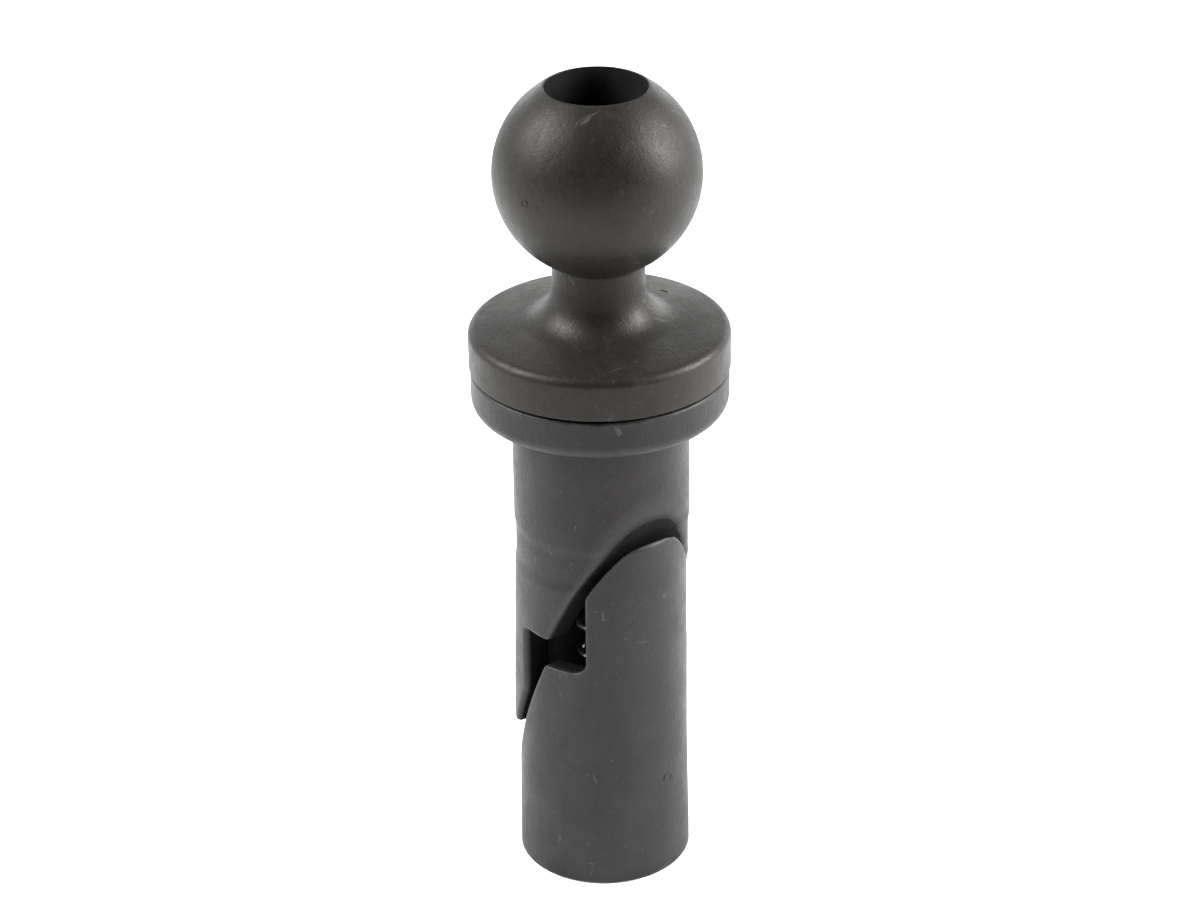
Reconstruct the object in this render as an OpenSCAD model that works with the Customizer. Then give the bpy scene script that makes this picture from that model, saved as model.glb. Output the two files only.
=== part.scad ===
// Ball mount with a split wedge post: a hollow-topped mounting ball on a round foot sits
// on a collared stem. The stem's post ends in an oblique face, and a loose wedge with the
// matching face is drawn up against it by one long screw, so that the wedge slides
// sideways and grips the inside of a tube.
// Millimetres. +Z is up along the screw. +X is the way the wedge spreads.
// The base of the wedge is at z = 0 with the screw loosened.

/* [Ball head] */
// Diameter of the mounting ball
ball_d = 25.4; // [24.8:0.1:26.6]
// Diameter of the round hollow in the top of the ball
hollow_d = 12.5; // [12.2:0.1:13.4]
// Diameter of the neck under the ball
neck_d = 11.4; // [10.8:0.1:12.4]
// Diameter of the round foot under the neck
foot_d = 32.3; // [31.6:0.1:34]

/* [Stem] */
// Diameter of the collar under the foot
collar_d = 32; // [31:0.1:34]
// Diameter of the post that goes into the tube
post_d = 22.1; // [21.9:0.05:22.5]
// Where the tongue's upright wall stands, along X from the axis
tongue_wall_x = -1.8; // [-2.4:0.1:-1.4]
// Height of the ledge above the open notch in the stem
ledge_z = 35.3; // [34.9:0.1:36]
// Height of the tongue's cut end
tongue_z = 18.8; // [18.4:0.1:21]
// Diameter of the core that hollows the lower half of the stem
stem_core_d = 15.2; // [14.4:0.1:15.8]

/* [Wedge] */
// Slope of the two oblique faces, in degrees from level
wedge_angle = 65; // [64:0.25:66]
// Height between the two oblique faces with the screw loosened
face_gap = 2.45; // [2.2:0.05:2.8]
// Diameter of the wedge at its base
wedge_base_d = 22.2; // [21.8:0.05:22.3]
// Diameter of the wedge above its drafted base
wedge_top_d = 21.7; // [21.3:0.05:21.8]
// Height of the notch's floor in the wedge
notch_floor_z = 31.4; // [31:0.1:32.6]
// Where the notch's upright wall stands, along X from the axis
notch_wall_x = 6.9; // [6.5:0.1:7.3]
// Height of the wedge's flat top
wedge_top_z = 49.4; // [48.8:0.1:50]
// Diameter of the core that hollows the wedge's upper half
wedge_core_d = 16.4; // [15.6:0.1:16.8]

/* [Screw and spring] */
// Diameter of the screw
screw_d = 4.83; // [4.7:0.01:4.9]
// Length of the screw under its head
screw_l = 88.9; // [87:0.1:89.5]
// Outer diameter of the spring
spring_d = 7; // [6.8:0.05:7.2]
// Diameter of the spring's wire
spring_wire_d = 0.8; // [0.6:0.05:0.85]
// Number of coils in the spring
spring_coils = 10; // [8:1:11]

/* [Hidden] */

round_fn = 96;
ring_fn = 48;             // around the tube of a ring
wire_fn = 14;             // around the spring's wire
slices_per_coil = 26;
eps = 0.01;
seat_gap = 0.03;          // faces that rest on one another
play = 0.05;              // radial clearance of the spigot in its recess

// heights along the axis
collar_top_z = 69.9;
collar_low_z = 64.5;
foot_low_z = collar_top_z + 0.05;
ball_z = 95.6;
hollow_floor_z = 88.5;
far = 60;                 // longer than any cut needs

// ball head
ball_r = ball_d / 2;
hollow_r = hollow_d / 2;
neck_r = neck_d / 2;
foot_r = foot_d / 2;
foot_round = 1.5;         // rounding of the foot's upper rim
foot_rim_z = 74;          // height where that rounding begins
foot_top_z = 76.2;        // top of the foot where the neck's sweep meets it
neck_sweep = 4.6;         // radius of the sweep from the foot to the neck
edge = 0.25;              // chamfer on both sides of the seam
recess_r = 8;             // recess in the stem that the head's spigot turns in
recess_h = 2.65;
spigot_r = recess_r - play;
spigot_h = 2.4;
clear_r = 2.75;           // hole that the screw passes through freely

// stem
collar_r = collar_d / 2;
collar_round = 2;
post_r = post_d / 2;
waist_r = post_r - 0.18;  // shallow waist around the post
waist_low_z = 43.6;
waist_top_z = 49;
stem_core_r = stem_core_d / 2;
stem_core_top_z = 50;     // above the place where the oblique face leaves the core
spring_bore_r = 4;
spring_seat_z = 58;
stem_face_z = 30.2;       // height at which the stem's oblique face meets the axis

// wedge
wedge_face_z = stem_face_z - face_gap;
wedge_x = -0.2;           // the loose wedge hangs a little to one side
wedge_draft_z = 18;       // height of the drafted base
wedge_core_r = wedge_core_d / 2;
slide_x = 2.1;            // sideways travel that the wedge's inner slot allows
spring_floor_z = 22;
nut_ceiling_z = 9.3;
nut_pocket_y = 4.92;      // half the width of the pocket that stops the nut turning
nut_pocket_x = 5.85;

// hardware
screw_r = screw_d / 2;
screw_head_r = 3.95;
screw_head_h = 4.83;
screw_edge = 0.4;
key_af = 3.97;            // across the flats of the key's socket
key_deep = 2.4;
washer_t = 1.25;
washer_r = 5.55;
washer_hole_r = 2.7;
nut_washer_r = 4.6;
spring_washer_r = 3.7;
spring_washer_t = 0.8;
nut_af = 9.5;
nut_h = 4.2;
nut_collar_r = 4.3;
nut_collar_h = 1.9;
nut_bore_r = screw_r + 0.04;
insert_r = 3.6;
insert_h = 1.2;
insert_up = 0.3;          // height of the insert above the nut's lower end

washer_low_z = hollow_floor_z + seat_gap;
screw_seat_z = washer_low_z + washer_t + seat_gap;
nut_washer_low_z = nut_ceiling_z - seat_gap - washer_t;
nut_top_z = nut_washer_low_z - seat_gap;
nut_low_z = nut_top_z - nut_h;
nut_end_z = nut_low_z - nut_collar_h;
insert_low_z = nut_end_z + insert_up;
spring_low_z = spring_floor_z + seat_gap + spring_washer_t + seat_gap;
spring_top_z = spring_seat_z - seat_gap;

// A round bar along Z between two heights.
module bar(r, z0, z1, x = 0) {
    translate([x, 0, z0])
        cylinder(r = r, h = z1 - z0, $fn = round_fn);
}

// A round bar that has slid along -X, leaving a straight-sided slot.
module slot_bar(r, z0, z1) {
    bar(r, z0, z1);
    bar(r, z0, z1, -slide_x);
    translate([-slide_x, -r, z0])
        cube([slide_x, 2 * r, z1 - z0]);
}

// A ring of round section around the axis.
module torus(r_ring, r_tube, z) {
    translate([0, 0, z])
        rotate_extrude($fn = round_fn)
            translate([r_ring, 0])
                circle(r = r_tube, $fn = ring_fn);
}

// The space below and beyond an oblique plane that crosses the axis at height z.
module below_face(z) {
    translate([0, 0, z])
        rotate([0, -wedge_angle, 0])
            translate([-far, -far / 2, -far])
                cube([2 * far, far, far]);
}

// The space above and behind the same kind of plane.
module above_face(z) {
    translate([0, 0, z])
        rotate([0, -wedge_angle, 0])
            translate([-far, -far / 2, 0])
                cube([2 * far, far, far]);
}

// The round foot with a rounded upper rim and a chamfered lower edge.
module foot() {
    bar(foot_r, foot_low_z + edge, foot_rim_z);
    torus(foot_r - foot_round, foot_round, foot_rim_z);
    bar(foot_r - foot_round, foot_low_z + edge, foot_rim_z + foot_round);
    translate([0, 0, foot_low_z])
        cylinder(r1 = foot_r - edge, r2 = foot_r, h = edge, $fn = round_fn);
    // the top rises gently from the rim to the neck
    translate([0, 0, foot_rim_z + foot_round])
        cylinder(r1 = foot_r - foot_round, r2 = neck_r + neck_sweep,
                 h = foot_top_z - foot_rim_z - foot_round, $fn = round_fn);
}

// The hollow sweep from the top of the foot into the neck.
module neck_flare() {
    difference() {
        bar(neck_r + neck_sweep, foot_top_z, foot_top_z + neck_sweep);
        torus(neck_r + neck_sweep, neck_sweep, foot_top_z + neck_sweep);
    }
}

module ball_head() {
    color([0.085, 0.084, 0.083])
        difference() {
            union() {
                translate([0, 0, ball_z])
                    sphere(r = ball_r, $fn = round_fn);
                bar(neck_r, foot_top_z, ball_z - ball_r / 2);
                neck_flare();
                foot();
                bar(spigot_r, foot_low_z - spigot_h, foot_low_z + edge);
            }
            bar(hollow_r, hollow_floor_z, ball_z + ball_r);
            bar(clear_r, foot_low_z - spigot_h - eps, hollow_floor_z + eps);
        }
}

// The collar, its rounded lower edge and the post below it, before any cuts.
module stem_blank() {
    bar(collar_r, collar_low_z + collar_round, collar_top_z - edge);
    torus(collar_r - collar_round, collar_round, collar_low_z + collar_round);
    bar(collar_r - collar_round, collar_low_z, collar_top_z - edge);
    translate([0, 0, collar_top_z - edge])
        cylinder(r1 = collar_r, r2 = collar_r - edge, h = edge, $fn = round_fn);
    bar(post_r, waist_top_z, collar_low_z + eps);
    bar(waist_r, waist_low_z, waist_top_z);
    bar(post_r, tongue_z, waist_low_z);
}

module upper_stem() {
    color([0.082, 0.081, 0.08])
        difference() {
            stem_blank();
            below_face(stem_face_z);
            // the open notch beside the tongue
            translate([tongue_wall_x, -far / 2, 0])
                cube([far, far, ledge_z]);
            bar(recess_r, collar_top_z - recess_h, collar_top_z + eps);
            bar(clear_r, spring_seat_z - eps, collar_top_z);
            bar(spring_bore_r, stem_core_top_z - eps, spring_seat_z);
            bar(stem_core_r, tongue_z - eps, stem_core_top_z);
        }
}

// The wedge as a plain round bar with draft on its lower part.
module wedge_blank() {
    translate([wedge_x, 0, 0]) {
        cylinder(r1 = wedge_base_d / 2, r2 = wedge_top_d / 2, h = wedge_draft_z,
                 $fn = round_fn);
        bar(wedge_top_d / 2, wedge_draft_z, wedge_top_z);
    }
}

module lower_wedge() {
    color([0.08, 0.079, 0.078])
        difference() {
            wedge_blank();
            above_face(wedge_face_z);
            // the notch that the spring shows through
            translate([-far, -far / 2, notch_floor_z])
                cube([far + notch_wall_x, far, far]);
            bar(wedge_core_r, spring_floor_z, wedge_top_z + eps);
            slot_bar(clear_r, nut_ceiling_z - eps, spring_floor_z + eps);
            // the straight pocket that keeps the nut from turning
            translate([-nut_pocket_x - slide_x, -nut_pocket_y, -eps])
                cube([2 * nut_pocket_x + slide_x, 2 * nut_pocket_y,
                      nut_ceiling_z + eps]);
        }
}

module clamp_screw() {
    color([0.35, 0.35, 0.36])
        difference() {
            union() {
                bar(screw_head_r, screw_seat_z, screw_seat_z + screw_head_h - screw_edge);
                translate([0, 0, screw_seat_z + screw_head_h - screw_edge])
                    cylinder(r1 = screw_head_r, r2 = screw_head_r - screw_edge,
                             h = screw_edge, $fn = round_fn);
                bar(screw_r, screw_seat_z - screw_l + screw_edge, screw_seat_z + eps);
                translate([0, 0, screw_seat_z - screw_l])
                    cylinder(r1 = screw_r - screw_edge, r2 = screw_r,
                             h = screw_edge, $fn = round_fn);
            }
            translate([0, 0, screw_seat_z + screw_head_h - key_deep])
                cylinder(r = key_af / 2 / cos(30), h = key_deep + eps, $fn = 6);
        }
}

// A flat washer.
module washer(r, t, z) {
    difference() {
        bar(r, z, z + t);
        bar(washer_hole_r, z - eps, z + t + eps);
    }
}

module head_washer() {
    color([0.6, 0.6, 0.61])
        washer(washer_r, washer_t, washer_low_z);
}

module nut_washer() {
    color([0.6, 0.6, 0.61])
        washer(nut_washer_r, washer_t, nut_washer_low_z);
}

module spring_washer() {
    color([0.6, 0.6, 0.61])
        washer(spring_washer_r, spring_washer_t, spring_floor_z + seat_gap);
}

// One level slice through a coil of round wire: longer than it is wide, and bent round.
module wire_slice(r_mid, r_wire, lean) {
    half = r_wire / tan(lean) / r_mid * 180 / PI;
    polygon([for (i = [0:wire_fn - 1])
        let (a = 360 * i / wire_fn,
             r = r_mid + r_wire * sin(a),
             t = half * cos(a))
        [r * cos(t), r * sin(t)]]);
}

module return_spring() {
    height = spring_top_z - spring_low_z;
    r_wire = spring_wire_d / 2;
    r_mid = spring_d / 2 - r_wire;
    pitch = height / spring_coils;
    lean = atan(pitch / (2 * PI * r_mid));
    color([0.62, 0.62, 0.63])
        translate([0, 0, spring_low_z])
            linear_extrude(height = height, twist = -360 * spring_coils,
                           slices = slices_per_coil * spring_coils, convexity = 10)
                wire_slice(r_mid, r_wire, lean);
}

module lock_nut() {
    color([0.6, 0.6, 0.61])
        difference() {
            union() {
                translate([0, 0, nut_low_z])
                    cylinder(r = nut_af / 2 / cos(30), h = nut_h, $fn = 6);
                bar(nut_collar_r, nut_end_z, nut_low_z + eps);
            }
            bar(nut_bore_r, nut_end_z - eps, nut_top_z + eps);
            bar(insert_r, insert_low_z, insert_low_z + insert_h);
        }
}

module nut_insert() {
    color([0.75, 0.76, 0.74])
        difference() {
            bar(insert_r, insert_low_z, insert_low_z + insert_h);
            bar(nut_bore_r, nut_end_z, nut_low_z);
        }
}

ball_head();
upper_stem();
lower_wedge();
clamp_screw();
head_washer();
return_spring();
spring_washer();
nut_washer();
lock_nut();
nut_insert();
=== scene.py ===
import math
import bpy
import numpy as np
from mathutils import Matrix, Vector


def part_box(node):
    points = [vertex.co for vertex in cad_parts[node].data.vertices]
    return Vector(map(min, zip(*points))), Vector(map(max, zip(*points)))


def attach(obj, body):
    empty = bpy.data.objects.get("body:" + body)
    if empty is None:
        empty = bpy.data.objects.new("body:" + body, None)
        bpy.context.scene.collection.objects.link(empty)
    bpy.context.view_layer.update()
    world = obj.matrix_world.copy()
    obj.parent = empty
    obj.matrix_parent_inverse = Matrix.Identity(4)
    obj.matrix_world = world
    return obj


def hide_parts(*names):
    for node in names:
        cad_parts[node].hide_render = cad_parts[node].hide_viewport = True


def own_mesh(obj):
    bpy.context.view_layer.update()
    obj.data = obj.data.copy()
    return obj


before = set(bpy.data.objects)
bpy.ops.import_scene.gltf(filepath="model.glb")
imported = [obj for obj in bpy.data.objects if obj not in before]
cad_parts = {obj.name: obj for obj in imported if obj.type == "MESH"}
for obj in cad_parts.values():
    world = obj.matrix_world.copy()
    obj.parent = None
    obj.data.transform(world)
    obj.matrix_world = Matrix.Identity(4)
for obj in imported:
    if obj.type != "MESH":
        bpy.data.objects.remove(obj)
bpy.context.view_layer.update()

MM = 0.001

# ---------------------------------------------------------------- sizes, from the CAD nodes
# All shape code below works in millimetres; meshes are scaled to metres at the end.


def node_mm(name):
    lo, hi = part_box(name)
    return np.array(lo) / MM, np.array(hi) / MM


_, HEAD_HI = node_mm("ball_head")
STEM_LO, STEM_HI = node_mm("upper_stem")
_, WEDGE_HI = node_mm("lower_wedge")
SCREW_LO, SCREW_HI = node_mm("clamp_screw")
SPRING_LO, SPRING_HI = node_mm("return_spring")
NUT_LO, NUT_HI = node_mm("lock_nut")
INSERT_LO, INSERT_HI = node_mm("nut_insert")
NUT_TRAVEL = 6.35             # how far the nut rises as the screw is tightened
SCREW_TURNS = 6

FACE_ANGLE = math.radians(65.0)
FACE_SIN, FACE_COS = math.sin(FACE_ANGLE), math.cos(FACE_ANGLE)
STEM_FACE_Z = 30.2            # where the stem's oblique face would meet the axis
FACE_GAP = 2.45               # between the two oblique faces at rest, measured along Z
WEDGE_FACE_Z = STEM_FACE_Z - FACE_GAP
LEDGE_Z = 35.3
TONGUE_X = -1.8
TONGUE_Z = STEM_LO[2]
SEAM_Z = STEM_HI[2]
COLLAR_R = STEM_HI[0]
COLLAR_LOW_Z = 64.5
COLLAR_ROUND = 2.0
POST_R = 11.05
WAIST_DEEP = 0.18             # shallow waist around the post
WAIST_START_Z, WAIST_FULL_LOW_Z = 42.8, 44.6
WAIST_FULL_TOP_Z, WAIST_END_Z = 48.0, 49.8
LEAN_TOP_Z, LEAN_SPAN = 44.0, 24.0   # the tongue leans out below this height
LEAN_OUT, LEAN_GROW = 0.85, 0.08
RECESS_FLOOR_Z = SEAM_Z - 2.65
RECESS_R = 8.0
SPRING_BORE_R = 4.0
CLEAR_R = 2.75
SPRING_SEAT_Z = 58.0
STEM_CORE_R = 7.6
STEM_CORE_TOP_Z = 50.0

WEDGE_X = -0.2
WEDGE_BASE_R = 11.1
WEDGE_TOP_R = 10.85
WEDGE_DRAFT_Z = 18.0
NOTCH_FLOOR_Z = 31.4
NOTCH_FILLET = 1.6
NOTCH_WALL_X = 6.9
WEDGE_TOP_Z = WEDGE_HI[2]
WEDGE_TOP_ROUND = 0.9
SLIDE_X = 2.1
SPRING_FLOOR_Z = 22.0
WEDGE_CORE_R = 8.2
NUT_CEILING_Z = 9.3
POCKET_X, POCKET_Y = 5.85, 4.92

BALL_Z = 95.6
BALL_R = 12.7
HOLLOW_R = 6.25
HOLLOW_FLOOR_Z = 88.5
NECK_R = 5.7
FOOT_R = HEAD_HI[0]
FOOT_LOW_Z = SEAM_Z + 0.05
SPIGOT_R = 7.95


# ---------------------------------------------------------------- mesh helpers

def smooth(a, b, t):
    s = np.clip((t - a) / (b - a), 0.0, 1.0)
    return s * s * (3.0 - 2.0 * s)


def inter(a, b, r):
    """Where two solids overlap, with the edge between them rounded to radius r."""
    u = np.maximum(a + r, 0.0)
    v = np.maximum(b + r, 0.0)
    return np.minimum(-r, np.maximum(a, b)) + np.sqrt(u * u + v * v)


def union(a, b, r):
    return -inter(-a, -b, r)


def cut(a, tool, r):
    return inter(a, -tool, r)


def slot_field(x, y, r):
    """Distance to a straight-sided slot along -X, ended by half circles of radius r."""
    dx = x - np.clip(x, -SLIDE_X, 0.0)
    return np.sqrt(dx * dx + y * y) - r


def gradient(field, p, step=0.02):
    g = np.empty_like(p)
    for axis in range(3):
        d = np.zeros(3)
        d[axis] = step
        a = field(*(p + d).T)
        b = field(*(p - d).T)
        g[:, axis] = (a - b) / (2 * step)
    return g


def surface_net(field, xs, ys, zs):
    """Quads on the zero surface of field over a grid that may be unevenly spaced."""
    gx, gy, gz = np.meshgrid(xs, ys, zs, indexing="ij")
    f = field(gx.ravel(), gy.ravel(), gz.ravel()).reshape(gx.shape)
    del gx, gy, gz
    inside = f < 0
    counts = np.zeros(tuple(n - 1 for n in f.shape), np.int8)
    for i in (0, 1):
        for j in (0, 1):
            for k in (0, 1):
                counts += inside[i:f.shape[0] - 1 + i, j:f.shape[1] - 1 + j,
                                 k:f.shape[2] - 1 + k]
    ci, cj, ck = np.nonzero((counts > 0) & (counts < 8))
    index = np.full(counts.shape, -1, np.int64)
    index[ci, cj, ck] = np.arange(len(ci))
    total = np.zeros((len(ci), 3))
    hits = np.zeros(len(ci))
    corner = [(i, j, k) for i in (0, 1) for j in (0, 1) for k in (0, 1)]
    for a in corner:
        for axis in range(3):
            if a[axis]:
                continue
            b = list(a)
            b[axis] = 1
            ia = (ci + a[0], cj + a[1], ck + a[2])
            ib = (ci + b[0], cj + b[1], ck + b[2])
            fa, fb = f[ia], f[ib]
            m = (fa < 0) != (fb < 0)
            t = np.where(m, fa / np.where(m, fa - fb, 1.0), 0.0)
            pa = np.stack([xs[ia[0]], ys[ia[1]], zs[ia[2]]], 1)
            pb = np.stack([xs[ib[0]], ys[ib[1]], zs[ib[2]]], 1)
            total += (pa + (pb - pa) * t[:, None]) * m[:, None]
            hits += m
    verts = total / hits[:, None]
    quads = []
    nx, ny, nz = f.shape
    for axis in range(3):
        lo = [slice(1, nx - 1), slice(1, ny - 1), slice(1, nz - 1)]
        hi = list(lo)
        lo[axis] = slice(0, f.shape[axis] - 1)
        hi[axis] = slice(1, f.shape[axis])
        a, b = inside[tuple(lo)], inside[tuple(hi)]
        e = np.array(np.nonzero(a != b))
        first = a[tuple(e)]
        for ax in range(3):
            if ax != axis:
                e[ax] += 1
        u, v = (axis + 1) % 3, (axis + 2) % 3
        ring = []
        for du, dv in ((-1, -1), (0, -1), (0, 0), (-1, 0)):
            c = e.copy()
            c[u] += du
            c[v] += dv
            ring.append(index[c[0], c[1], c[2]])
        q = np.stack(ring, 1)
        q[~first] = q[~first][:, ::-1]
        quads.append(q)
    return verts, np.concatenate(quads)


def polish(field, verts, reach, rounds=4):
    """Slides the net's points onto the true surface and returns them with their normals."""
    for _ in range(rounds):
        g = gradient(field, verts)
        n2 = np.maximum((g * g).sum(1), 0.05)
        move = -(field(*verts.T) / n2)[:, None] * g
        size = np.linalg.norm(move, axis=1)
        move *= np.minimum(1.0, reach / np.maximum(size, 1e-9))[:, None]
        verts = verts + move
    g = gradient(field, verts)
    return verts, g / np.maximum(np.linalg.norm(g, axis=1), 1e-9)[:, None]


def make_object(name, verts, faces, body, replaces=(), normals=None, slot=None):
    mesh = bpy.data.meshes.new(name)
    mesh.from_pydata((np.asarray(verts) * MM).tolist(), [], faces if isinstance(faces, list)
                     else faces.tolist())
    mesh.validate()
    mesh.polygons.foreach_set("use_smooth", [True] * len(mesh.polygons))
    mesh.update()
    if normals is not None and len(mesh.vertices) == len(normals):
        mesh.normals_split_custom_set_from_vertices(np.asarray(normals).tolist())
    obj = bpy.data.objects.new(name, mesh)
    bpy.context.scene.collection.objects.link(obj)
    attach(obj, body)
    if replaces:
        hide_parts(*replaces)
    return obj


def round_corner(points, radii, steps=7):
    """A polyline in (r, z) with each corner replaced by an arc of its radius."""
    out = []
    n = len(points)
    for i, (p, rad) in enumerate(zip(points, radii)):
        p = np.array(p, float)
        if rad <= 0 or i in (0, n - 1):
            out.append(tuple(p))
            continue
        a = np.array(points[i - 1], float) - p
        b = np.array(points[i + 1], float) - p
        la, lb = np.linalg.norm(a), np.linalg.norm(b)
        a, b = a / la, b / lb
        half = math.acos(max(-1.0, min(1.0, float(a @ b)))) / 2
        back = min(rad / math.tan(half), 0.49 * la, 0.49 * lb)
        rad = back * math.tan(half)
        mid = (a + b) / np.linalg.norm(a + b)
        centre = p + mid * rad / math.sin(half)
        s = p + a * back - centre
        e = p + b * back - centre
        t0, t1 = math.atan2(s[1], s[0]), math.atan2(e[1], e[0])
        d = (t1 - t0 + math.pi) % (2 * math.pi) - math.pi
        for k in range(steps + 1):
            t = t0 + d * k / steps
            out.append((centre[0] + rad * math.cos(t), centre[1] + rad * math.sin(t)))
    return out


def lathe(name, profile, body, count=192, **kw):
    """A solid of revolution from a closed profile of (r, z) points, outside first."""
    prof = np.array(profile, float)
    n = len(prof)
    ang = np.linspace(0, 2 * np.pi, count, endpoint=False)
    r = np.repeat(prof[:, 0][:, None], count, 1)
    z = np.repeat(prof[:, 1][:, None], count, 1)
    verts = np.stack([r * np.cos(ang), r * np.sin(ang), z], 2).reshape(-1, 3)
    i = np.arange(n)[:, None]
    j = np.arange(count)[None, :]
    i2, j2 = (i + 1) % n, (j + 1) % count
    quads = np.stack([i * count + j, i * count + j2, i2 * count + j2, i2 * count + j],
                     2).reshape(-1, 4)
    return make_object(name, verts, quads, body, **kw)


# ---------------------------------------------------------------- moulded pieces
# The last argument of inter, union and cut is the radius of the edge or fillet in mm.


CUT_ROUND = 0.45              # the rounding of the oblique cut's outer edge,
TONGUE_EXTRA, TONGUE_EXTRA_ENDS = 0.45, (34.0, 36.0)   # more of it along the tongue
TOP_EXTRA, TOP_EXTRA_STARTS = 0.8, (45.0, 52.0)        # and most of it at the top


def post_field(x, y, z):
    """The post as moulded on the outside: a shallow waist and a tongue that leans out."""
    waist = WAIST_DEEP * smooth(WAIST_START_Z, WAIST_FULL_LOW_Z, z)
    waist = waist * (1.0 - smooth(WAIST_FULL_TOP_Z, WAIST_END_Z, z))
    lean = np.clip((LEAN_TOP_Z - z) / LEAN_SPAN, 0.0, 1.0)
    return np.hypot(x + LEAN_OUT * lean, y) - (POST_R - waist + LEAN_GROW * lean)


def stem_field(x, y, z):
    """Signed distance, about, to the stem: collar, post and tongue with all their cuts."""
    rho = np.hypot(x, y)
    post = post_field(x, y, z)
    face = x * FACE_SIN - (z - STEM_FACE_Z) * FACE_COS
    notch = union(x - TONGUE_X, LEDGE_Z - z, 0.6)
    cuts = inter(face, notch, 0.35)
    edge = CUT_ROUND + TONGUE_EXTRA * (1.0 - smooth(*TONGUE_EXTRA_ENDS, z))
    edge = edge + TOP_EXTRA * smooth(*TOP_EXTRA_STARTS, z)
    post = inter(post, cuts, edge)
    post = inter(post, TONGUE_Z - z, 0.9)
    collar = inter(rho - COLLAR_R, COLLAR_LOW_Z - z, COLLAR_ROUND)
    solid = union(inter(post, z - COLLAR_LOW_Z - 1.0, 0.0), collar, 0.5)
    solid = inter(solid, z - SEAM_Z, 0.35)
    recess = inter(rho - RECESS_R, RECESS_FLOOR_Z - z, 0.1)
    solid = cut(solid, recess, 0.15)
    solid = cut(solid, rho - CLEAR_R, 0.1)
    solid = cut(solid, inter(rho - SPRING_BORE_R, z - SPRING_SEAT_Z, 0.1), 0.15)
    return cut(solid, inter(rho - STEM_CORE_R, z - STEM_CORE_TOP_Z, 0.8), 0.25)


def stem_skin(x, y, z):
    """Distance to the stem's outer skin, below zero further in."""
    rho = np.hypot(x, y)
    return np.where(z > COLLAR_LOW_Z + 0.2, rho - COLLAR_R, post_field(x, y, z))


def wedge_skin(x, y, z):
    """Distance to the wedge's outer skin, below zero further in."""
    radius = WEDGE_TOP_R + (WEDGE_BASE_R - WEDGE_TOP_R) * np.clip(1 - z / WEDGE_DRAFT_Z, 0, 1)
    return np.hypot(x - WEDGE_X, y) - radius


def wedge_field(x, y, z):
    """Signed distance, about, to the loose wedge with its notch, slots and nut pocket."""
    face = (z - WEDGE_FACE_Z) * FACE_COS - x * FACE_SIN
    notch = union(NOTCH_WALL_X - x, z - NOTCH_FLOOR_Z, NOTCH_FILLET)
    cuts = inter(face, notch, 0.3)
    bar = inter(wedge_skin(x, y, z), z - WEDGE_TOP_Z, WEDGE_TOP_ROUND)
    solid = inter(bar, cuts, 0.35)
    solid = inter(solid, -z, 0.12)
    core = inter(np.hypot(x, y) - WEDGE_CORE_R, SPRING_FLOOR_Z - z, 0.5)
    solid = cut(solid, core, 0.25)
    solid = cut(solid, slot_field(x, y, CLEAR_R), 0.1)
    middle, half = -SLIDE_X / 2, POCKET_X + SLIDE_X / 2
    pocket = inter(np.abs(x - middle) - half, np.abs(y) - POCKET_Y, 0.4)
    return cut(solid, inter(pocket, z - NUT_CEILING_Z, 0.2), 0.2)


COARSE = 1.0  # how much wider than asked the grids' steps are


def grid_line(*stretches):
    """Grid stops from (start, end, step) stretches that follow on from one another."""
    out = [np.array([stretches[0][0]])]
    for a, b, step in stretches:
        n = max(1, int(round((b - a) / (step * COARSE))))
        out.append(a + (b - a) * np.arange(1, n + 1) / n)
    return np.concatenate(out)


def field_piece(name, field, skin, grid, body, node, slot):
    """A CAD node's moulded shape as a net over its field, with edges marked for wear and painted
    highlight, and insides for painted shade.
    """
    verts, quads = surface_net(field, *grid)
    verts, normals = polish(field, verts, reach=0.12)
    obj = make_object(name, verts, quads, body, replaces=(node,), normals=normals, slot=slot)
    mark_edges(obj, field, skin, normals)
    return obj


EDGE_REACH = 0.35             # how near an edge counts for the lighter edge colour, partly wear and partly painted highlight
EDGE_CURL = 0.3               # mean fall over that reach that gives the full lighter edge colour
SKIN_IN, SKIN_DEEP = 0.3, 1.0        # depths between which outside turns to inside, over which painted shade fades in
INNER_DEPTH = 0.8             # depth from which a face takes the painted-shade material


def mark_edges(obj, field, skin, normals):
    """Stores how far the surface curls away near each point, for edges lightened as wear and
    painted highlight, and what lies inside the skin, for painted shade.
    """
    co = np.empty(len(obj.data.vertices) * 3)
    obj.data.vertices.foreach_get("co", co)
    p = co.reshape(-1, 3) / MM
    helper = np.where(np.abs(normals[:, 2:]) < 0.9, [[0.0, 0.0, 1.0]], [[1.0, 0.0, 0.0]])
    u = np.cross(normals, helper)
    u /= np.linalg.norm(u, axis=1)[:, None]
    v = np.cross(normals, u)
    lift = np.zeros(len(p))
    for side in (u, -u, v, -v):
        lift += field(*(p + side * EDGE_REACH).T)
    curl = np.clip(lift / (4 * EDGE_REACH) / EDGE_CURL, 0.0, 1.0)
    inside = smooth(SKIN_IN, SKIN_DEEP, -skin(*p.T))
    for key, values in (("edge_wear_and_highlight", curl * (1.0 - inside)), ("inner_painted_shade", inside)):
        layer = obj.data.attributes.new(key, "FLOAT", "POINT")
        layer.data.foreach_set("value", values)


def arc_points(cx, cz, radius, start, end, steps):
    """Points (r, z) along an arc between two angles in degrees, both ends included."""
    out = []
    for k in range(steps + 1):
        t = math.radians(start + (end - start) * k / steps)
        out.append((cx + radius * math.cos(t), cz + radius * math.sin(t)))
    return out


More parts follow.
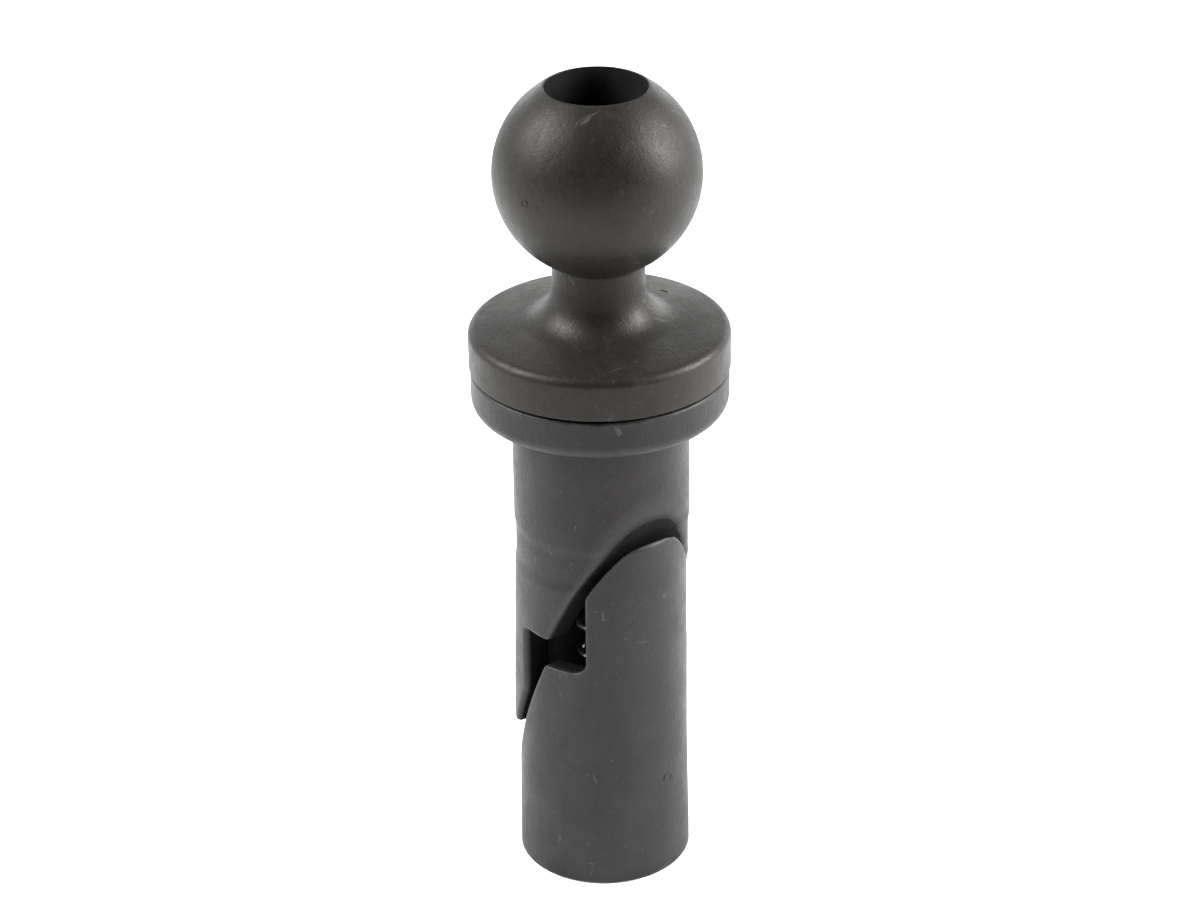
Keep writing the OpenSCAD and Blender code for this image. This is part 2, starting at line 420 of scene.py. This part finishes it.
FOOT_TOP_Z = 76.2
NECK_SWEEP = 4.6
FOOT_SHOULDER_Z = 75.5
FOOT_ROUND = 1.2              # the foot's upper rim
FOOT_SIDE_Z = 72.0            # an extra stop on the foot's straight side
FOOT_EDGE_UP = 0.42           # where the foot's side ends, above its underside
SEAM_DEEP, SEAM_GAP = 1.1, 0.2       # the dark line left open under the foot's edge
SPIGOT_LOW_Z = FOOT_LOW_Z - 2.4


def ball_head_profile():
    """Half section of the head as (r, z), from the hollow's floor round to the spigot."""
    rim_z = BALL_Z + math.sqrt(BALL_R ** 2 - HOLLOW_R ** 2)
    neck_z = BALL_Z - math.sqrt(BALL_R ** 2 - NECK_R ** 2)
    top = math.degrees(math.asin((rim_z - 0.06 - BALL_Z) / BALL_R))
    low = math.degrees(math.asin((neck_z + 0.03 - BALL_Z) / BALL_R))
    hollow = [(CLEAR_R, HOLLOW_FLOOR_Z), (HOLLOW_R - 0.4, HOLLOW_FLOOR_Z),
              (HOLLOW_R, HOLLOW_FLOOR_Z + 0.4), (HOLLOW_R, BALL_Z), (HOLLOW_R, rim_z - 0.14)]
    ball = arc_points(0.0, BALL_Z, BALL_R, top, low, 110)
    neck = [(NECK_R, neck_z - 0.1), (NECK_R, neck_z - 0.6),
            (NECK_R, FOOT_TOP_Z + NECK_SWEEP + 0.6)]
    sweep = arc_points(NECK_R + NECK_SWEEP, FOOT_TOP_Z + NECK_SWEEP, NECK_SWEEP, 180, 267, 26)
    foot = round_corner(
        [sweep[-1], (FOOT_R, FOOT_SHOULDER_Z), (FOOT_R, FOOT_SIDE_Z),
         (FOOT_R, FOOT_LOW_Z + FOOT_EDGE_UP), (FOOT_R - 0.25, FOOT_LOW_Z + SEAM_GAP),
         (FOOT_R - SEAM_DEEP, FOOT_LOW_Z + SEAM_GAP), (FOOT_R - SEAM_DEEP - 0.1, FOOT_LOW_Z),
         (SPIGOT_R, FOOT_LOW_Z), (SPIGOT_R, SPIGOT_LOW_Z), (CLEAR_R, SPIGOT_LOW_Z)],
        [0, FOOT_ROUND, 0, 0.2, 0.2, 0.05, 0.05, 0.15, 0.3, 0], steps=12)
    return hollow + ball + neck + sweep + foot[1:]


def build_ball_head():
    return lathe("ball_head_shell", ball_head_profile()[::-1], "head",
                 count=320, replaces=("ball_head",),
                 slot="head_composite")


def shade_inner(obj, mat, inside):
    """Faces whose centres pass the test are a second material, the painted shade."""
    obj.data.materials.append(mat)
    centre = np.empty(len(obj.data.polygons) * 3)
    obj.data.polygons.foreach_get("center", centre)
    chosen = inside(*(centre.reshape(-1, 3) / MM).T)
    obj.data.polygons.foreach_set("material_index", chosen.astype(np.int32))


def in_hollow(x, y, z):
    """The wall and floor of the hollow in the ball's top."""
    return (np.hypot(x, y) < HOLLOW_R + 0.01) & (z > HOLLOW_FLOOR_Z - 0.01)


def in_stem(x, y, z):
    return stem_skin(x, y, z) < -INNER_DEPTH


def in_wedge(x, y, z):
    return wedge_skin(x, y, z) < -INNER_DEPTH


def build_stem():
    side = COLLAR_R + 0.6
    post = POST_R + 0.9
    line = grid_line((-side, -post, 0.45), (-post, post, 0.27), (post, side, 0.45))
    zs = grid_line((TONGUE_Z - 0.6, 57.0, 0.27), (57.0, 63.5, 0.55), (63.5, SEAM_Z + 0.5, 0.2))
    return field_piece("upper_stem_shell", stem_field, stem_skin, (line, line, zs), "stem",
                       "upper_stem", "stem_composite")


def build_wedge():
    side = WEDGE_BASE_R + 0.7
    line = grid_line((-side, side, 0.26))
    zs = grid_line((-0.5, 1.0, 0.14), (1.0, 18.0, 0.5), (18.0, WEDGE_TOP_Z + 0.5, 0.26))
    return field_piece("lower_wedge_shell", wedge_field, wedge_skin, (line, line, zs), "wedge",
                       "lower_wedge", "wedge_composite")


def polar(radius, azimuth, z, x=0.0):
    a = math.radians(azimuth)
    return np.array((x + radius * math.cos(a), radius * math.sin(a), z))


def surface_mark(name, radius, x, azimuth, z, ring_r, body):
    """A gate's ring on an upright round surface of the given radius about (x, 0)."""
    return mould_mark(name, polar(radius, azimuth, z, x), polar(1.0, azimuth, 0.0), ring_r,
                      0.08, body)


def mould_mark(name, place, normal, ring_r, tube_r, body):
    """A faint raised ring left by a gate or a pin, half sunk in the surface at a place."""
    around, sides = 40, 10
    n = np.array(normal, float)
    n /= np.linalg.norm(n)
    u = np.cross(n, (0.0, 0.0, 1.0) if abs(n[2]) < 0.9 else (1.0, 0.0, 0.0))
    u /= np.linalg.norm(u)
    v = np.cross(n, u)
    a = 2 * np.pi * np.arange(around) / around
    b = 2 * np.pi * np.arange(sides) / sides
    out = np.cos(a)[:, None] * u + np.sin(a)[:, None] * v
    sink = 0.35 * tube_r
    verts = (np.array(place) + out[:, None] * (ring_r + tube_r * np.cos(b))[None, :, None]
             + n * (tube_r * np.sin(b) - sink)[None, :, None]).reshape(-1, 3)
    quads = [(i * sides + j, ((i + 1) % around) * sides + j,
              ((i + 1) % around) * sides + (j + 1) % sides, i * sides + (j + 1) % sides)
             for i in range(around) for j in range(sides)]
    return make_object(name, verts, quads, body)


# ---------------------------------------------------------------- hardware

SCREW_D = 4.83                # also the height of its head
SHANK_R = SCREW_D / 2
SCREW_HEAD_R = 3.95
SEAT_Z = SCREW_HI[2] - SCREW_D
KEY_FLATS, KEY_DEEP = 3.97, 2.4
KNURLS, KNURL_DEEP = 40, 0.05
THREAD_PITCH = NUT_TRAVEL / SCREW_TURNS
THREAD_DEPTH = 0.55
THREAD_FLAT = 0.16            # share of the pitch that is flat crest, and again flat root
THREAD_EASE = 0.8             # takes some steepness out of the field on the flanks
THREAD_TOP_Z = SCREW_LO[2] + 30.0
NUT_FLAT = NUT_HI[1]
NUT_BORE_R = 2.455
NUT_COLLAR_R = 4.3
CHAMFER_SIN, CHAMFER_COS = 0.5, 0.866   # the nut's corners are chamfered at 30 degrees
NUT_SHOULDER_Z = NUT_LO[2] + 1.9
WASHER_HOLE_R = 2.7
SPRING_WIRE_R = 0.4
SPRING_COILS = 10
SPRING_CLOSED = 0.9           # turns at each end that lie shut
SPRING_PHASE = math.radians(170.0)


def washer(name, node, body):
    """A stamped flat washer, more rounded on its upper side."""
    lo, hi = node_mm(node)
    hole, rim, mid = WASHER_HOLE_R, hi[0], (lo[2] + hi[2]) / 2
    outline = round_corner(
        [(hole, mid), (hole, hi[2]), (rim, hi[2]), (rim, lo[2]), (hole, lo[2]),
         (hole, mid - 0.01)],
        [0, 0.12, 0.25, 0.12, 0.12, 0], steps=4)
    return lathe(name, outline, body, count=96, replaces=(node,), slot="zinc_steel")


def hex_distance(x, y, flat):
    """Distance to a hexagon with flats at y = +-flat and corners on the X axis."""
    a, b = np.abs(x), np.abs(y)
    return np.maximum(b, a * math.sin(math.radians(60)) + b / 2) - flat


def screw_field(x, y, z):
    """Cap screw: knurled head with a hexagon socket, plain shank and right-hand thread."""
    rho = np.hypot(x, y)
    ang = np.arctan2(y, x)
    band = smooth(SEAT_Z + 0.5, SEAT_Z + 0.9, z) * (1 - smooth(-0.9, -0.6, z - SCREW_HI[2]))
    knurl = KNURL_DEEP * (1.0 + np.cos(ang * KNURLS)) * band
    head = inter(rho - SCREW_HEAD_R + knurl, z - SCREW_HI[2], 0.4)
    head = inter(head, SEAT_Z - z, 0.2)
    socket = inter(hex_distance(x, y, KEY_FLATS / 2), SCREW_HI[2] - KEY_DEEP - z, 0.1)
    head = cut(head, socket, 0.12)
    turn = (z - SCREW_LO[2]) / THREAD_PITCH - ang / (2 * np.pi)
    groove = np.clip((np.abs((turn % 1.0) * 2.0 - 1.0) - THREAD_FLAT) / (1.0 - 2 * THREAD_FLAT),
                     0.0, 1.0)
    groove = groove * (1 - smooth(THREAD_TOP_Z - 1.5, THREAD_TOP_Z, z))
    shank = (rho - SHANK_R + THREAD_DEPTH * groove) * THREAD_EASE
    shank = inter(shank, SCREW_LO[2] - z, 0.45)
    return union(head, inter(shank, z - SEAT_Z - 0.5, 0.0), 0.15)


def nut_field(x, y, z):
    """Hexagon lock nut with chamfered corners and a round collar for the insert."""
    rho = np.hypot(x, y)
    prism = inter(hex_distance(x, y, NUT_FLAT), z - NUT_HI[2], 0.15)
    prism = inter(prism, NUT_SHOULDER_Z - z, 0.1)
    for end in (z - NUT_HI[2], NUT_SHOULDER_Z - z):
        prism = inter(prism, (rho - NUT_FLAT - 0.25) * CHAMFER_SIN + end * CHAMFER_COS,
                      0.05)
    collar = inter(inter(rho - NUT_COLLAR_R, NUT_LO[2] - z, 0.7), z - NUT_SHOULDER_Z - 0.5, 0.0)
    solid = cut(union(prism, collar, 0.12), rho - NUT_BORE_R, 0.2)
    seat = np.abs(z - (INSERT_LO[2] + INSERT_HI[2]) / 2) - (INSERT_HI[2] - INSERT_LO[2]) / 2
    return cut(solid, inter(rho - INSERT_HI[0], seat, 0.0), 0.02)


def build_screw():
    side = SCREW_HEAD_R + 0.25
    line = grid_line((-side, side, 0.14))
    zs = grid_line((SCREW_LO[2] - 0.2, THREAD_TOP_Z, 0.12), (THREAD_TOP_Z, SEAT_Z - 0.5, 1.2),
                   (SEAT_Z - 0.5, SCREW_HI[2] + 0.2, 0.12))
    verts, quads = surface_net(screw_field, line, line, zs)
    verts, normals = polish(screw_field, verts, reach=0.05)
    return make_object("clamp_screw_body", verts, quads, "screw", replaces=("clamp_screw",),
                       normals=normals, slot="screw_steel")


def build_nut():
    side = NUT_HI[0] + 0.3
    line = grid_line((-side, side, 0.16))
    zs = grid_line((NUT_LO[2] - 0.3, NUT_HI[2] + 0.3, 0.16))
    verts, quads = surface_net(nut_field, line, line, zs)
    verts, normals = polish(nut_field, verts, reach=0.06)
    return make_object("lock_nut_body", verts, quads, "nut", replaces=("lock_nut",),
                       normals=normals, slot="zinc_steel")


def build_insert():
    lo, hi = INSERT_LO, INSERT_HI
    mid = (lo[2] + hi[2]) / 2
    outline = round_corner(
        [(NUT_BORE_R, mid), (NUT_BORE_R, hi[2]), (hi[0], hi[2]), (hi[0], lo[2]),
         (NUT_BORE_R, lo[2]), (NUT_BORE_R, mid - 0.01)], [0, 0.2, 0.1, 0.25, 0.3, 0], steps=4)
    return lathe("nut_insert_ring", outline, "nut", count=96, replaces=("nut_insert",),
                 slot="nylon")


def build_spring():
    """A closed-end compression spring as a round tube along its helix."""
    wire, closed = SPRING_WIRE_R, SPRING_CLOSED
    middle = SPRING_HI[0] - wire
    per_coil, sides = ((64, 16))
    n = SPRING_COILS * per_coil
    t = np.arange(n + 1) / per_coil
    low, high = SPRING_LO[2] + wire + 0.02, SPRING_HI[2] - wire - 0.02
    rise = np.clip((t - closed) / (SPRING_COILS - 2 * closed), 0.0, 1.0)
    ends = 2 * wire * 1.01
    z = low + ends * np.minimum(t / closed, 1.0) * closed
    z = z + ends * np.clip(t - SPRING_COILS + closed, 0.0, closed)
    z = z + (high - low - 2 * ends * closed) * rise
    kernel = np.hanning(per_coil // 2 + 3)
    pad = len(kernel) // 2
    z = np.convolve(np.pad(z, pad, "edge"), kernel / kernel.sum(), "valid")[:n + 1]
    ang = 2 * np.pi * t + SPRING_PHASE
    path = np.stack([middle * np.cos(ang), middle * np.sin(ang), z], 1)
    along = np.gradient(path, axis=0)
    along /= np.linalg.norm(along, axis=1)[:, None]
    out = np.stack([np.cos(ang), np.sin(ang), np.zeros_like(ang)], 1)
    up = np.cross(along, out)
    turn = 2 * np.pi * np.arange(sides) / sides
    ring = out[:, None] * np.cos(turn)[None, :, None] + up[:, None] * np.sin(turn)[None, :, None]
    verts = (path[:, None] + wire * ring).reshape(-1, 3)
    quads = []
    for i in range(n):
        for j in range(sides):
            k = (j + 1) % sides
            quads.append((i * sides + j, (i + 1) * sides + j, (i + 1) * sides + k, i * sides + k))
    quads.append(tuple(range(sides)))
    quads.append(tuple(n * sides + j for j in range(sides))[::-1])
    return make_object("return_spring_coil", verts, quads, "stem", replaces=("return_spring",),
                       slot="spring_steel")


# ---------------------------------------------------------------- materials

class Look:
    """A node material under construction: one principled shader and its helpers."""

    def __init__(self, name):
        self.mat = bpy.data.materials.new(name)
        self.mat.use_nodes = True
        self.nodes = self.mat.node_tree.nodes
        self.links = self.mat.node_tree.links
        self.shader = self.nodes["Principled BSDF"]
        self.place = self.nodes.new("ShaderNodeTexCoord").outputs["Object"]

    def scaled(self, x, y, z):
        node = self.nodes.new("ShaderNodeMapping")
        node.inputs["Scale"].default_value = (x, y, z)
        self.links.new(self.place, node.inputs["Vector"])
        return node.outputs["Vector"]

    def noise(self, size_mm, detail=3.0, rough=0.55, stretch=(1, 1, 1), warp=0.0):
        """Noise whose features are about size_mm across, from 0 to 1."""
        node = self.nodes.new("ShaderNodeTexNoise")
        node.inputs["Scale"].default_value = 1.0 / (size_mm * MM)
        node.inputs["Detail"].default_value = detail
        node.inputs["Roughness"].default_value = rough
        node.inputs["Distortion"].default_value = warp
        self.links.new(self.scaled(*stretch), node.inputs["Vector"])
        return node.outputs["Fac"]

    def remap(self, value, from_lo, from_hi, to_lo, to_hi):
        node = self.nodes.new("ShaderNodeMapRange")
        node.inputs["From Min"].default_value = from_lo
        node.inputs["From Max"].default_value = from_hi
        node.inputs["To Min"].default_value = to_lo
        node.inputs["To Max"].default_value = to_hi
        self.links.new(value, node.inputs["Value"])
        return node.outputs["Result"]

    def math(self, kind, a, b):
        node = self.nodes.new("ShaderNodeMath")
        node.operation = kind
        for socket, value in zip(node.inputs, (a, b)):
            if isinstance(value, (int, float)):
                socket.default_value = value
            else:
                self.links.new(value, socket)
        return node.outputs["Value"]

    def mix(self, fac, a, b):
        node = self.nodes.new("ShaderNodeMix")
        node.data_type = "RGBA"
        self.links.new(fac, node.inputs["Factor"])
        for socket, value in ((node.inputs["A"], a), (node.inputs["B"], b)):
            if isinstance(value, tuple):
                socket.default_value = (*value, 1.0)
            else:
                self.links.new(value, socket)
        return node.outputs["Result"]

    def attribute(self, name):
        node = self.nodes.new("ShaderNodeAttribute")
        node.attribute_name = name
        return node.outputs["Fac"]

    def seam_line(self, azimuth, half_width_mm):
        """1 along the half plane through the axis at an azimuth, fading to 0 beside it."""
        split = self.nodes.new("ShaderNodeSeparateXYZ")
        self.links.new(self.place, split.inputs["Vector"])
        x, y = split.outputs["X"], split.outputs["Y"]
        s, c = math.sin(math.radians(azimuth)), math.cos(math.radians(azimuth))
        off = self.math("ABSOLUTE", self.math("SUBTRACT", self.math("MULTIPLY", x, s),
                                              self.math("MULTIPLY", y, c)), 0.0)
        ahead = self.math("ADD", self.math("MULTIPLY", x, c), self.math("MULTIPLY", y, s))
        line = self.remap(off, 0.0, half_width_mm * MM, 1.0, 0.0)
        return self.math("MULTIPLY", line, self.remap(ahead, 0.0, MM, 0.0, 1.0))

    def set(self, **values):
        for key, value in values.items():
            socket = self.shader.inputs[key.replace("_", " ")]
            if isinstance(value, (int, float)):
                socket.default_value = value
            elif isinstance(value, tuple):
                socket.default_value = (*value, 1.0)
            else:
                self.links.new(value, socket)

    def bump(self, *layers):
        """Bump layers as (height, depth in mm), the finest last."""
        normal = None
        for height, depth in layers:
            node = self.nodes.new("ShaderNodeBump")
            node.inputs["Strength"].default_value = 1.0
            node.inputs["Distance"].default_value = depth * MM
            self.links.new(height, node.inputs["Height"])
            if normal is not None:
                self.links.new(normal, node.inputs["Normal"])
            normal = node.outputs["Normal"]
        self.links.new(normal, self.shader.inputs["Normal"])


DUST, SCUFFED = (0.11, 0.107, 0.102), (0.06, 0.058, 0.056)
# The second pair: a lighter colour for convex edges, partly wear and partly painted highlight, and
# a near-black for surfaces deep inside the skin, which is painted shade.
WORN_AND_HIGHLIGHT, PAINTED_SHADE_INSIDE = (0.075, 0.073, 0.070), (0.0035, 0.0034, 0.0033)


def composite(name, dark, light, tint, seam=None):
    """Black glass-filled nylon: grain, cloudy gloss, scuffs, dust, edges lightened as wear and
    painted highlight, insides darkened with painted shade and dulled.
    """
    look = Look(name)
    cloud = look.noise(6.0, 4.0)
    blotch = look.noise(2.2, 4.0, 0.6, warp=0.8)
    streak = look.noise(3.0, 3.0, stretch=(1.0, 1.0, 0.22), warp=0.6)
    fine = look.noise(0.32, 3.0, 0.65)
    fibre = look.noise(0.6, 3.0, 0.6, stretch=(1.0, 1.0, 0.35))
    scuff = look.remap(look.noise(1.6, 5.0, 0.7, warp=1.2), 0.58, 0.72, 0.0, 1.0)
    hair = look.noise(0.9, 2.0, 0.5, stretch=(1.0, 0.07, 0.5), warp=0.5)
    hair = look.math("MULTIPLY", look.remap(hair, 0.66, 0.71, 0.0, 1.0),
                     look.remap(look.noise(7.0, 2.0), 0.5, 0.62, 0.0, 1.0))
    tone = look.math("ADD", look.math("MULTIPLY", cloud, 0.4), look.math("MULTIPLY", streak, 0.3))
    tone = look.math("ADD", tone, look.math("MULTIPLY", blotch, 0.3))
    base = look.mix(look.remap(tone, 0.34, 0.66, 0.0, 1.0), dark, light)
    speck = look.remap(look.noise(0.42, 1.0, 0.4), 0.76, 0.80, 0.0, 0.32)
    dust = look.math("ADD", speck, look.math("MULTIPLY", hair, 0.35))
    base = look.mix(dust, base, DUST)
    base = look.mix(look.math("MULTIPLY", scuff, 0.22), base, SCUFFED)
    # Convex edges take a lighter colour: partly wear, partly painted highlight.
    worn_and_highlight = look.math("MULTIPLY", look.attribute("edge_wear_and_highlight"),
                     look.remap(blotch, 0.3, 0.7, 0.1, 0.8))
    base = look.mix(worn_and_highlight, base, WORN_AND_HIGHLIGHT)
    # Surfaces deep inside the skin are darkened to near-black: painted shade, with duller gloss
    # too.
    inner = look.attribute("inner_painted_shade")
    base = look.mix(inner, base, PAINTED_SHADE_INSIDE)
    gloss = look.remap(cloud, 0.3, 0.7, 0.50, 0.40)
    gloss = look.math("ADD", gloss, look.remap(blotch, 0.3, 0.7, -0.04, 0.05))
    gloss = look.math("ADD", gloss, look.remap(fine, 0.3, 0.7, -0.05, 0.05))
    gloss = look.math("ADD", gloss, look.math("MULTIPLY", scuff, 0.08))
    gloss = look.math("ADD", gloss, look.math("MULTIPLY", inner, 0.35))
    look.set(Base_Color=base, Roughness=gloss, IOR=1.35, Specular_Tint=tint)
    layers = [(cloud, 0.07), (blotch, 0.02), (fibre, 0.028), (fine, 0.034)]
    if seam is not None:
        layers.insert(0, (look.seam_line(*seam), 0.012))
    look.bump(*layers)
    return look.mat


def painted_shade_matt(name):
    """Painted shade for the insides, such as the hollow's: darker and duller than the outside."""
    look = Look(name)
    cloud = look.noise(2.5, 4.0)
    fine = look.noise(0.3, 3.0, 0.6)
    base = look.mix(look.remap(cloud, 0.3, 0.7, 0.0, 1.0), (0.0045, 0.0044, 0.0042),
                    (0.009, 0.0088, 0.0085))
    look.set(Base_Color=base, Roughness=look.remap(fine, 0.3, 0.7, 0.78, 0.9), IOR=1.18)
    look.bump((cloud, 0.04), (fine, 0.02))
    return look.mat


def steel(name, dark, light, rough, metallic=1.0, brushed=(1, 1, 1)):
    look = Look(name)
    cloud = look.noise(1.8, 4.0)
    brush = look.noise(0.25, 3.0, 0.6, stretch=brushed)
    base = look.mix(look.remap(cloud, 0.3, 0.7, 0.0, 1.0), dark, light)
    stain = look.remap(look.noise(0.9, 4.0, 0.7), 0.60, 0.72, 0.0, 0.35)
    base = look.mix(stain, base, tuple(0.45 * c for c in dark))
    gloss = look.math("ADD", look.remap(cloud, 0.3, 0.7, rough - 0.06, rough + 0.08),
                      look.remap(brush, 0.3, 0.7, -0.05, 0.05))
    look.set(Base_Color=base, Roughness=gloss, Metallic=metallic)
    look.bump((cloud, 0.01), (brush, 0.006))
    return look.mat


def nylon(name):
    look = Look(name)
    cloud = look.noise(1.2, 3.0)
    fine = look.noise(0.2, 3.0)
    base = look.mix(look.remap(cloud, 0.3, 0.7, 0.0, 1.0), (0.58, 0.58, 0.54), (0.70, 0.70, 0.66))
    look.set(Base_Color=base, Roughness=look.remap(fine, 0.3, 0.7, 0.38, 0.52))
    look.bump((cloud, 0.01), (fine, 0.005))
    return look.mat


def coat(obj, mat):
    obj.data.materials.clear()
    obj.data.materials.append(mat)
    return obj


# ---------------------------------------------------------------- the object

# places of the marks: radius from the piece's own axis, degrees round from +X, height
SEAM_AZIMUTH = -79.0          # the parting line, with the ball's gate on it
WEDGE_GATE_R, WEDGE_GATE_AZIMUTH, WEDGE_GATE_Z = 10.91, 12.0, 13.8
FOOT_PIN_R, FOOT_PIN_AZIMUTH, FOOT_PIN_Z = 10.8, 97.0, 76.06

head_look = composite("head_composite_look", (0.0085, 0.0079, 0.0073), (0.014, 0.0131, 0.0122),
                      (1.0, 0.965, 0.90), seam=(SEAM_AZIMUTH, 0.07))
# painted shade: the hollow's wall and floor and the deep insides of stem and wedge take this
# darker material
inner_painted_shade_look = painted_shade_matt("inner_painted_shade_look")
stem_look = composite("stem_composite_look", (0.009, 0.0086, 0.0082), (0.015, 0.0143, 0.0137),
                      (1.0, 0.97, 0.965))
wedge_look = composite("wedge_composite_look", (0.011, 0.0107, 0.0105), (0.018, 0.0176, 0.0172),
                       (1.0, 0.965, 0.98))
screw_look = steel("screw_steel_look", (0.05, 0.05, 0.052), (0.09, 0.09, 0.093), 0.38)
zinc_look = steel("zinc_steel_look", (0.46, 0.46, 0.47), (0.60, 0.60, 0.61), 0.30)
spring_look = steel("spring_steel_look", (0.62, 0.62, 0.63), (0.78, 0.78, 0.79), 0.42)
nylon_look = nylon("nylon_look")

shade_inner(coat(build_ball_head(), head_look), inner_painted_shade_look, in_hollow)
shade_inner(coat(build_stem(), stem_look), inner_painted_shade_look, in_stem)
shade_inner(coat(build_wedge(), wedge_look), inner_painted_shade_look, in_wedge)
coat(surface_mark("ball_gate_mark", BALL_R, 0.0, SEAM_AZIMUTH, BALL_Z, 0.5, "head"), head_look)
coat(surface_mark("wedge_gate_mark", WEDGE_GATE_R, WEDGE_X, WEDGE_GATE_AZIMUTH, WEDGE_GATE_Z,
                  0.7, "wedge"), wedge_look)
coat(mould_mark("foot_pin_mark", polar(FOOT_PIN_R, FOOT_PIN_AZIMUTH, FOOT_PIN_Z), (0, 0, 1),
                0.7, 0.09, "head"), head_look)
coat(build_screw(), screw_look)
coat(washer("head_washer_plate", "head_washer", "head"), zinc_look)
coat(washer("spring_washer_plate", "spring_washer", "nut"), zinc_look)
coat(washer("nut_washer_plate", "nut_washer", "nut"), zinc_look)
coat(build_nut(), zinc_look)
coat(build_insert(), nylon_look)
spring = coat(build_spring(), spring_look)
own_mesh(spring)


# ---------------------------------------------------------------- floor, lights, camera

AIM = Vector((0.0, 0.0, 0.053))
VIEW_TURN = math.radians(36.5)       # how far the viewer stands round from +X towards -Y
VIEW_DROP = math.radians(27.795)     # how far the camera looks down
VIEW_ROLL = 0.0138                   # in radians, the photo's slight tilt
CAMERA_PLACE = (-0.000127, -0.364434, 0.250111)
CAMERA_LENS = 99.0            # in mm, on a sensor 36 mm wide


def from_view(right, away, up):
    """A place given as seen from the front of the view, turned into the part's frame."""
    s, c = math.sin(VIEW_TURN), math.cos(VIEW_TURN)
    return Vector((right * s - away * c, right * c + away * s, up))


def view_axes():
    """The camera's own right, up and backward directions in the part's frame."""
    s, c = math.sin(VIEW_DROP), math.cos(VIEW_DROP)
    right, up = from_view(1, 0, 0), from_view(0, s, c)
    back = -from_view(0, c, -s)
    cr, sr = math.cos(VIEW_ROLL), math.sin(VIEW_ROLL)
    return right * cr - up * sr, right * sr + up * cr, back


def build_floor():
    look = Look("floor_look")
    grain = look.noise(40.0, 3.0)
    base = look.mix(look.remap(grain, 0.3, 0.7, 0.0, 1.0), (0.86, 0.86, 0.86), (0.90, 0.90, 0.90))
    look.set(Base_Color=base, Roughness=0.9, Emission_Color=(1.0, 1.0, 1.0),
             Emission_Strength=0.36)
    size, below = 2500.0, -0.05
    mesh = bpy.data.meshes.new("floor")
    ring = [(size * math.cos(a), size * math.sin(a), below)
            for a in np.linspace(0, 2 * math.pi, 64, endpoint=False)]
    mesh.from_pydata([tuple(v * MM for v in p) for p in ring], [], [tuple(range(64))])
    obj = bpy.data.objects.new("floor", mesh)
    bpy.context.scene.collection.objects.link(obj)
    mesh.materials.append(look.mat)


def soft_box(name, direction, distance, size, power):
    """A square area light that shines at the object from a direction."""
    light = bpy.data.lights.new(name, "AREA")
    light.shape = "RECTANGLE"
    light.size, light.size_y = size
    light.energy = power
    obj = bpy.data.objects.new(name, light)
    bpy.context.scene.collection.objects.link(obj)
    d = direction.normalized()
    obj.location = AIM + d * distance
    obj.rotation_euler = d.to_track_quat("Z", "Y").to_euler()
    obj.visible_camera = False


def build_lights():
    """A world that is dim on the viewer's side and bright behind, and three soft boxes."""
    world = bpy.data.worlds.new("studio")
    bpy.context.scene.world = world
    world.use_nodes = True
    right, up, back = view_axes()
    nodes, links = world.node_tree.nodes, world.node_tree.links
    direction = nodes.new("ShaderNodeTexCoord").outputs["Generated"]
    facing = nodes.new("ShaderNodeVectorMath")
    facing.operation = "DOT_PRODUCT"
    facing.inputs[1].default_value = back
    links.new(direction, facing.inputs[0])
    fade = nodes.new("ShaderNodeMapRange")
    for key, value in (("From Min", -0.1), ("From Max", 0.75), ("To Min", 0.85), ("To Max", 0.08)):
        fade.inputs[key].default_value = value
    links.new(facing.outputs["Value"], fade.inputs["Value"])
    nodes["Background"].inputs["Color"].default_value = (1.0, 1.0, 1.0, 1.0)
    links.new(fade.outputs["Result"], nodes["Background"].inputs["Strength"])
    soft_box("soft_box_right", right * 0.88 + up * 0.42 + back * 0.20, 0.6, (0.28, 0.36), 7.5)
    soft_box("soft_box_left", right * -0.76 + up * 0.57 + back * 0.30, 0.6, (0.28, 0.36), 5.6)
    soft_box("soft_box_back", right * 0.1 + up * 0.35 - back * 0.94, 0.8, (1.3, 0.8), 8.0)


def build_camera():
    cam = bpy.data.cameras.new("camera")
    cam.lens, cam.sensor_width, cam.sensor_fit = CAMERA_LENS, 36.0, "HORIZONTAL"
    cam.clip_start, cam.clip_end = 0.01, 20.0
    obj = bpy.data.objects.new("camera", cam)
    bpy.context.scene.collection.objects.link(obj)
    right, up, back = view_axes()
    place = from_view(*CAMERA_PLACE)
    grid = Matrix((right, up, back)).transposed().to_4x4()
    grid.translation = place
    obj.matrix_world = grid
    bpy.context.scene.camera = obj


build_floor()
build_lights()
build_camera()
bpy.context.scene.view_settings.view_transform = "Standard"
